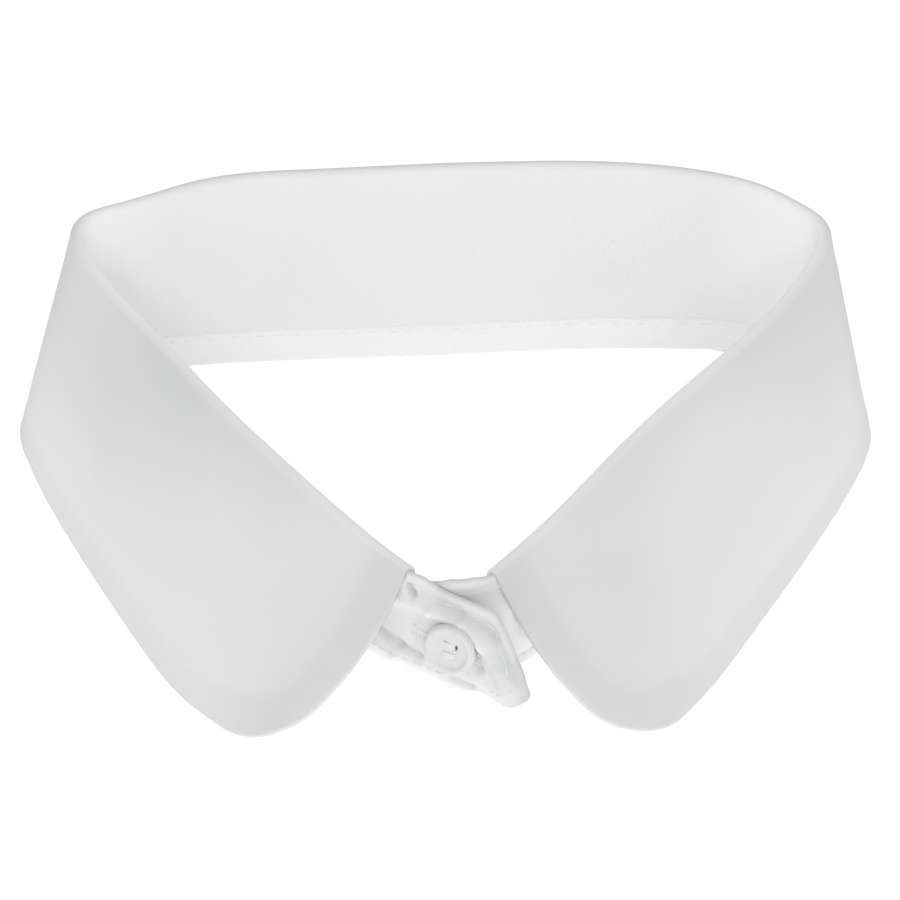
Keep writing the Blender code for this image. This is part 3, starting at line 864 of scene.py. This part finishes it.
def tab_border(tab, inset):
    """Spots a little inside the tab's lower edge, free end and top edge."""
    spots = [(-TAB_LAP + 1.0, inset + 0.9), (float(tab_reach(tab, 0.0)) - 3.5, inset + 0.6)]
    for share in (0.12, 0.25, 0.4, 0.55, 0.7, 0.86):
        past = float(tab_reach(tab, share)) - 1.2 * inset
        spots.append((past, share * float(tab_height(tab, past))))
    for past in (14.0, 8.0, 4.0, 1.0, -2.0, -6.0, -TAB_LAP + 1.0):
        spots.append((past, float(tab_height(tab, past)) - inset))
    return spots


def button_frame():
    """Where the button sits: on the CAD button's middle, lying flat on the overlap."""
    tab = TABS["over"]
    spot = Vector(tab_spot(tab, BUTTON_AHEAD, BUTTON_UP, 0.0))
    ahead = Vector(tab_spot(tab, BUTTON_AHEAD + 1.0, BUTTON_UP, 0.0)) - spot
    above = Vector(tab_spot(tab, BUTTON_AHEAD, BUTTON_UP + 1.0, 0.0)) - spot
    out = ahead.cross(above).normalized()
    if out.y > 0.0:
        out = -out
    ahead = (ahead - out * ahead.dot(out)).normalized()
    turned = Matrix(TILT.tolist()) @ Matrix((ahead, out.cross(ahead), out)).transposed()
    low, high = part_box("button")
    middle = (Vector(low) + Vector(high)) / 2.0
    return turned, middle


def make_button(finish):
    """A turned four-hole shirt button: rounded rim, dished face and countersunk holes."""
    profile = [(0.0, 0.0), (3.8, 0.0), (4.5, 0.08), (4.95, 0.32), (5.22, 0.7), (5.3, 1.1),
               (5.24, 1.5), (5.05, 1.85), (4.75, 2.08), (4.45, 2.16), (4.15, 2.12),
               (3.92, 1.98), (3.75, 1.78), (3.5, 1.62), (3.15, 1.54), (2.7, 1.5), (0.0, 1.5)]
    sides = 96
    points, faces = [], []
    for k in range(sides):
        turn = 2.0 * math.pi * k / sides
        points += [(radius * math.cos(turn), radius * math.sin(turn), height)
                   for radius, height in profile[1:-1]]
    count = len(profile) - 2
    for k in range(sides):
        n = (k + 1) % sides
        for j in range(count - 1):
            faces.append((k * count + j, n * count + j, n * count + j + 1, k * count + j + 1))
    back, face = len(points), len(points) + 1
    points += [(0.0, 0.0, 0.0), (0.0, 0.0, BUTTON_FACE)]
    for k in range(sides):
        n = (k + 1) % sides
        faces.append((back, n * count, k * count))
        faces.append((face, k * count + count - 1, n * count + count - 1))
    mesh = bpy.data.meshes.new("pearl_button")
    mesh.from_pydata([[value * MM for value in point] for point in points], [], faces)
    mesh.materials.append(finish)
    made = bpy.data.objects.new("pearl_button", mesh)
    bpy.context.scene.collection.objects.link(made)
    cutters = []
    for x, y in ((1, 1), (-1, 1), (-1, -1), (1, -1)):
        spot = Vector((x * BUTTON_HOLE_SPREAD, y * BUTTON_HOLE_SPREAD, 0.0)) * MM
        rings = [(-1.0, BUTTON_HOLE_RADIUS), (BUTTON_FACE - 0.18, BUTTON_HOLE_RADIUS),
                 (BUTTON_FACE + 0.2, BUTTON_HOLE_RADIUS + 0.2)]
        corners = []
        for height, radius in rings:
            for k in range(24):
                turn = 2.0 * math.pi * k / 24
                corners.append(spot + Vector((math.cos(turn) * radius,
                                              math.sin(turn) * radius, height)) * MM)
        walls = [tuple(range(23, -1, -1)), tuple(range(48, 72))]
        for ring in (0, 24):
            walls += [(ring + k, ring + (k + 1) % 24, ring + 24 + (k + 1) % 24, ring + 24 + k)
                      for k in range(24)]
        hole_mesh = bpy.data.meshes.new("thread_hole")
        hole_mesh.from_pydata(corners, [], walls)
        cutter = bpy.data.objects.new("thread_hole", hole_mesh)
        bpy.context.scene.collection.objects.link(cutter)
        cutters.append(cutter)
        hole = made.modifiers.new("thread_hole", "BOOLEAN")
        hole.operation = "DIFFERENCE"
        hole.solver = "EXACT"
        hole.object = cutter
    settle(made)
    for cutter in cutters:
        bpy.data.objects.remove(cutter)
    turned, middle = button_frame()
    up = Vector((0.0, 0.0, 1.1 * MM))
    made.data.transform(Matrix.Translation(middle) @ turned.to_4x4() @ Matrix.Translation(-up))
    made.data.shade_smooth()
    made.data.set_sharp_from_angle(angle=math.radians(40.0))
    return made


def button_thread_lines():
    """Two bars of four strands over the button's face, the upper one drawn to the left."""
    turned, middle = button_frame()
    back = np.array(Matrix(TILT.tolist()).transposed() @ middle) / MM
    turned = np.array(Matrix(TILT.tolist()).transposed() @ turned)
    lines = []
    for y in (-1, 1):
        for strand in (-0.42, -0.14, 0.14, 0.42):
            across = -0.5 if y > 0 else 0.0
            spot = np.array([[across, y * BUTTON_HOLE_SPREAD + strand, BUTTON_FACE - 1.1]])
            ends = spot + np.array([[-0.01, 0.0, 0.0], [0.01, 0.0, 0.0]])
            line = back + ends @ turned.T
            lines.append((line, np.repeat(turned[:, 2][None, :], 2, axis=0)))
    return lines


# Materials.
def add_node(tree, kind, **settings):
    made = tree.nodes.new(kind)
    for name, value in settings.items():
        setattr(made, name, value)
    return made


def calculate(tree, operation, first, second):
    """A Math node fed by sockets or numbers."""
    made = add_node(tree, "ShaderNodeMath", operation=operation)
    for socket, value in zip(made.inputs, (first, second)):
        if isinstance(value, (int, float)):
            socket.default_value = value
        elif value is not None:
            tree.links.new(value, socket)
    return made.outputs[0]


def poplin(name, light, shade, thread_pitch, weave_height, crumple_height, roughness):
    """White cotton poplin: a fine plain weave, soft crumples, and a colour mixed from a greyer
    shade to white by the tone attribute, much of which is painted light and shade.
    """
    made = bpy.data.materials.new(name)
    made.use_nodes = True
    tree = made.node_tree
    shader = tree.nodes["Principled BSDF"]
    cloth = add_node(tree, "ShaderNodeUVMap", uv_map="cloth")
    apart = add_node(tree, "ShaderNodeSeparateXYZ")
    tree.links.new(cloth.outputs["UV"], apart.inputs[0])
    turns = math.pi / (thread_pitch * MM * 10.0)
    warp = calculate(tree, "SINE", calculate(tree, "MULTIPLY", apart.outputs[0], turns), None)
    weft = calculate(tree, "SINE", calculate(tree, "MULTIPLY", apart.outputs[1], turns), None)
    weave = calculate(tree, "MULTIPLY", warp, weft)

    spots = add_node(tree, "ShaderNodeTexCoord")
    slub = add_node(tree, "ShaderNodeTexNoise")
    slub.inputs["Scale"].default_value = 900.0
    slub.inputs["Detail"].default_value = 2.0
    tree.links.new(spots.outputs["Object"], slub.inputs["Vector"])
    weave = calculate(tree, "ADD", weave, slub.outputs["Fac"])
    threads = add_node(tree, "ShaderNodeBump")
    threads.inputs["Strength"].default_value = 0.6
    threads.inputs["Distance"].default_value = weave_height * MM
    tree.links.new(weave, threads.inputs["Height"])

    crumple = add_node(tree, "ShaderNodeTexNoise")
    crumple.inputs["Scale"].default_value = 70.0
    crumple.inputs["Detail"].default_value = 3.0
    crumple.inputs["Roughness"].default_value = 0.45
    tree.links.new(spots.outputs["Object"], crumple.inputs["Vector"])
    soft = add_node(tree, "ShaderNodeBump")
    soft.inputs["Strength"].default_value = 0.5
    soft.inputs["Distance"].default_value = crumple_height * MM
    tree.links.new(crumple.outputs["Fac"], soft.inputs["Height"])
    tree.links.new(soft.outputs["Normal"], threads.inputs["Normal"])
    tree.links.new(threads.outputs["Normal"], shader.inputs["Normal"])

    # The tone attribute, with its painted light and shade, and a little random unevenness.
    tone = add_node(tree, "ShaderNodeAttribute", attribute_name="tone")
    uneven = add_node(tree, "ShaderNodeTexNoise")
    uneven.inputs["Scale"].default_value = 28.0
    uneven.inputs["Detail"].default_value = 2.0
    tree.links.new(spots.outputs["Object"], uneven.inputs["Vector"])
    patchy = calculate(tree, "MULTIPLY_ADD", uneven.outputs["Fac"], 0.14)
    patchy.node.inputs[2].default_value = -0.07
    share = calculate(tree, "ADD", tone.outputs["Fac"], patchy)
    share.node.use_clamp = True
    blend = add_node(tree, "ShaderNodeMix", data_type="RGBA")
    blend.inputs["A"].default_value = shade
    blend.inputs["B"].default_value = light
    tree.links.new(share, blend.inputs["Factor"])
    tree.links.new(blend.outputs["Result"], shader.inputs["Base Color"])

    rough = calculate(tree, "MULTIPLY_ADD", slub.outputs["Fac"], 0.12)
    rough.node.inputs[2].default_value = roughness - 0.06
    tree.links.new(rough, shader.inputs["Roughness"])
    shader.inputs["Specular IOR Level"].default_value = 0.25
    shader.inputs["Sheen Weight"].default_value = 0.12
    shader.inputs["Sheen Roughness"].default_value = 0.5
    return made


def spun_thread(name, light, shade):
    """Cotton sewing thread, lightly twisted."""
    made = bpy.data.materials.new(name)
    made.use_nodes = True
    tree = made.node_tree
    shader = tree.nodes["Principled BSDF"]
    spots = add_node(tree, "ShaderNodeTexCoord")
    twist = add_node(tree, "ShaderNodeTexWave", bands_direction="DIAGONAL")
    twist.inputs["Scale"].default_value = 900.0
    twist.inputs["Distortion"].default_value = 1.5
    tree.links.new(spots.outputs["Object"], twist.inputs["Vector"])
    ridges = add_node(tree, "ShaderNodeBump")
    ridges.inputs["Strength"].default_value = 0.5
    ridges.inputs["Distance"].default_value = 0.03 * MM
    tree.links.new(twist.outputs["Fac"], ridges.inputs["Height"])
    tree.links.new(ridges.outputs["Normal"], shader.inputs["Normal"])
    colour = add_node(tree, "ShaderNodeMix", data_type="RGBA")
    colour.inputs["A"].default_value = shade
    colour.inputs["B"].default_value = light
    tree.links.new(twist.outputs["Fac"], colour.inputs["Factor"])
    tree.links.new(colour.outputs["Result"], shader.inputs["Base Color"])
    shader.inputs["Roughness"].default_value = 0.7
    shader.inputs["Sheen Weight"].default_value = 0.1
    return made


def pearl(name):
    """White shirt button: faint clouded bands under a soft gloss."""
    made = bpy.data.materials.new(name)
    made.use_nodes = True
    tree = made.node_tree
    shader = tree.nodes["Principled BSDF"]
    spots = add_node(tree, "ShaderNodeTexCoord")
    cloud = add_node(tree, "ShaderNodeTexNoise")
    cloud.inputs["Scale"].default_value = 260.0
    cloud.inputs["Detail"].default_value = 3.0
    cloud.inputs["Distortion"].default_value = 1.2
    tree.links.new(spots.outputs["Object"], cloud.inputs["Vector"])
    colour = add_node(tree, "ShaderNodeMix", data_type="RGBA")
    colour.inputs["A"].default_value = (0.66, 0.66, 0.655, 1.0)
    colour.inputs["B"].default_value = (0.74, 0.74, 0.735, 1.0)
    tree.links.new(cloud.outputs["Fac"], colour.inputs["Factor"])
    tree.links.new(colour.outputs["Result"], shader.inputs["Base Color"])
    rough = calculate(tree, "MULTIPLY_ADD", cloud.outputs["Fac"], 0.15)
    rough.node.inputs[2].default_value = 0.34
    tree.links.new(rough, shader.inputs["Roughness"])
    shader.inputs["Coat Weight"].default_value = 0.15
    shader.inputs["Coat Roughness"].default_value = 0.2
    return made


def sew_everything():
    """All the stitches, each row with the piece that it is sewn through."""
    thread = spun_thread("white_thread", (0.94, 0.94, 0.94, 1.0), (0.88, 0.88, 0.88, 1.0))
    # A darker copy of the same thread, painted shade for the stitches on the greyer tabs and the
    # button.
    shaded_thread = spun_thread("shaded_copy_thread", (0.83, 0.83, 0.83, 1.0), (0.76, 0.76, 0.76, 1.0))
    tree = stitch_tree()
    spacing = STITCH_LENGTH + STITCH_GAP
    up = BAND_HEIGHT - BAND_STITCH_INSET
    band_lines = [band_line(up, -BAND_PROUD, -1.0),
                  band_line(up, COLLAR_THICK + BAND_PROUD, 1.0)]
    over, under = TABS["over"], TABS["under"]
    over_lines = [tab_line(over, OVER_CREASES, tab_border(over, TAB_STITCH_INSET))]
    under_lines = [tab_line(under, UNDER_CREASES, tab_border(under, TAB_STITCH_INSET))]
    slit = [tab_line(over, OVER_CREASES, [(4.4, BUTTON_UP + side), (18.3, BUTTON_UP + side)])
            for side in (-0.7, 0.7)]
    return {
        "binding_stitches": ("binding_cotton", sew(
            "binding_stitches", tree, band_lines, thread, STITCH_LENGTH, spacing, 0.04,
            radius=0.09)),
        "tab_over_stitches": ("tab_cotton", sew(
            "tab_over_stitches", tree, over_lines, shaded_thread, STITCH_LENGTH, spacing, 0.06, radius=0.11,
            seed=2)),
        "tab_under_stitches": ("tab_cotton", sew(
            "tab_under_stitches", tree, under_lines, shaded_thread, STITCH_LENGTH, spacing, 0.06,
            radius=0.11, seed=3)),
        "buttonhole_stitches": ("tab_cotton", sew(
            "buttonhole_stitches", tree, slit, shaded_thread, 1.2, SATIN_PITCH, 0.12, across=1.0,
            seed=4)),
        "button_thread": ("button_pearl", sew(
            "button_thread", tree, button_thread_lines(), shaded_thread, 2.0 * BUTTON_HOLE_SPREAD + 1.0,
            1.0, 0.30, radius=0.17, seed=5)),
    }


def main():
    light, shade = (0.945, 0.945, 0.95, 1.0), (0.60, 0.605, 0.61, 1.0)
    collar_cloth = poplin("white_poplin_upper", light, shade, 0.28, 0.008, 0.08, 0.82)
    under_cloth = poplin("white_poplin_under", light, shade, 0.28, 0.008, 0.10, 0.85)
    binding_cloth = poplin("white_binding_strip", light, shade, 0.32, 0.010, 0.08, 0.84)
    tab_cloth = poplin("white_tab_poplin", light, shade, 0.28, 0.010, 0.20, 0.82)

    upper = make_upper_collar(collar_cloth)
    under = make_under_collar(under_cloth)
    binding = make_binding(binding_cloth)
    over = make_tab("tab_over_cloth", TABS["over"], OVER_CREASES, OVER_PAINTED_SHADING, tab_cloth)
    under_tab = make_tab("tab_under_cloth", TABS["under"], UNDER_CREASES, UNDER_PAINTED_SHADING,
                         tab_cloth)
    button = make_button(pearl("pearl_white"))
    stitches = sew_everything()

    for piece, node, slot in (
        (upper, "top_collar", "collar_cotton"),
        (under, "under_collar", "under_cotton"),
        (binding, "neck_band", "binding_cotton"),
        (over, "tab_over", "tab_cotton"),
        (under_tab, "tab_under", "tab_cotton"),
        (button, "button", "button_pearl"),
    ):
        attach(piece, "root")
        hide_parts(node)
    for name, (slot, piece) in stitches.items():
        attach(piece, "root")


main()


def add_camera():
    """The photograph's view: one metre off, 12 degrees above level."""
    data = bpy.data.cameras.new("camera")
    data.lens = 200.0
    data.sensor_width = 36.0
    data.clip_end = 20.0
    made = bpy.data.objects.new("camera", data)
    rise = math.radians(12.0)
    made.location = (0.0, -math.cos(rise), math.sin(rise))
    made.rotation_euler = (math.radians(90.0) - rise, 0.0, 0.0)
    bpy.context.scene.collection.objects.link(made)
    bpy.context.scene.camera = made


def add_panel(name, spot, size, energy):
    """A soft studio light, aimed at the collar."""
    data = bpy.data.lights.new(name, "AREA")
    data.shape = "DISK"
    data.size = size
    data.energy = energy
    made = bpy.data.objects.new(name, data)
    made.location = spot
    made.rotation_euler = (-Vector(spot)).to_track_quat("-Z", "Y").to_euler()
    bpy.context.scene.collection.objects.link(made)


def add_floor():
    mesh = bpy.data.meshes.new("floor")
    half, low = 12.0, -0.18
    mesh.from_pydata([(-half, -half, low), (half, -half, low), (half, half, low),
                      (-half, half, low)], [], [(0, 1, 2, 3)])
    pale = bpy.data.materials.new("pale_floor")
    pale.use_nodes = True
    shader = pale.node_tree.nodes["Principled BSDF"]
    shader.inputs["Base Color"].default_value = (0.92, 0.92, 0.92, 1.0)
    shader.inputs["Roughness"].default_value = 0.9
    shader.inputs["Emission Color"].default_value = (1.0, 1.0, 1.0, 1.0)
    shader.inputs["Emission Strength"].default_value = 0.50
    mesh.materials.append(pale)
    made = bpy.data.objects.new("floor", mesh)
    bpy.context.scene.collection.objects.link(made)


def add_studio():
    world = bpy.data.worlds.new("studio")
    bpy.context.scene.world = world
    world.use_nodes = True
    background = world.node_tree.nodes["Background"]
    background.inputs["Color"].default_value = (1.0, 1.0, 1.0, 1.0)
    background.inputs["Strength"].default_value = 0.57
    add_panel("front_panel", (-0.1, -1.5, 0.05), 0.5, 1.5)
    add_panel("low_panel", (0.1, -1.35, -0.02), 0.4, 1.5)
    add_panel("left_panel", (-0.4, -0.8, 1.1), 0.8, 1.3)
    add_panel("right_panel", (0.4, -0.8, 1.1), 0.8, 1.3)
    bpy.context.scene.view_settings.view_transform = "Standard"


add_camera()
add_floor()
add_studio()
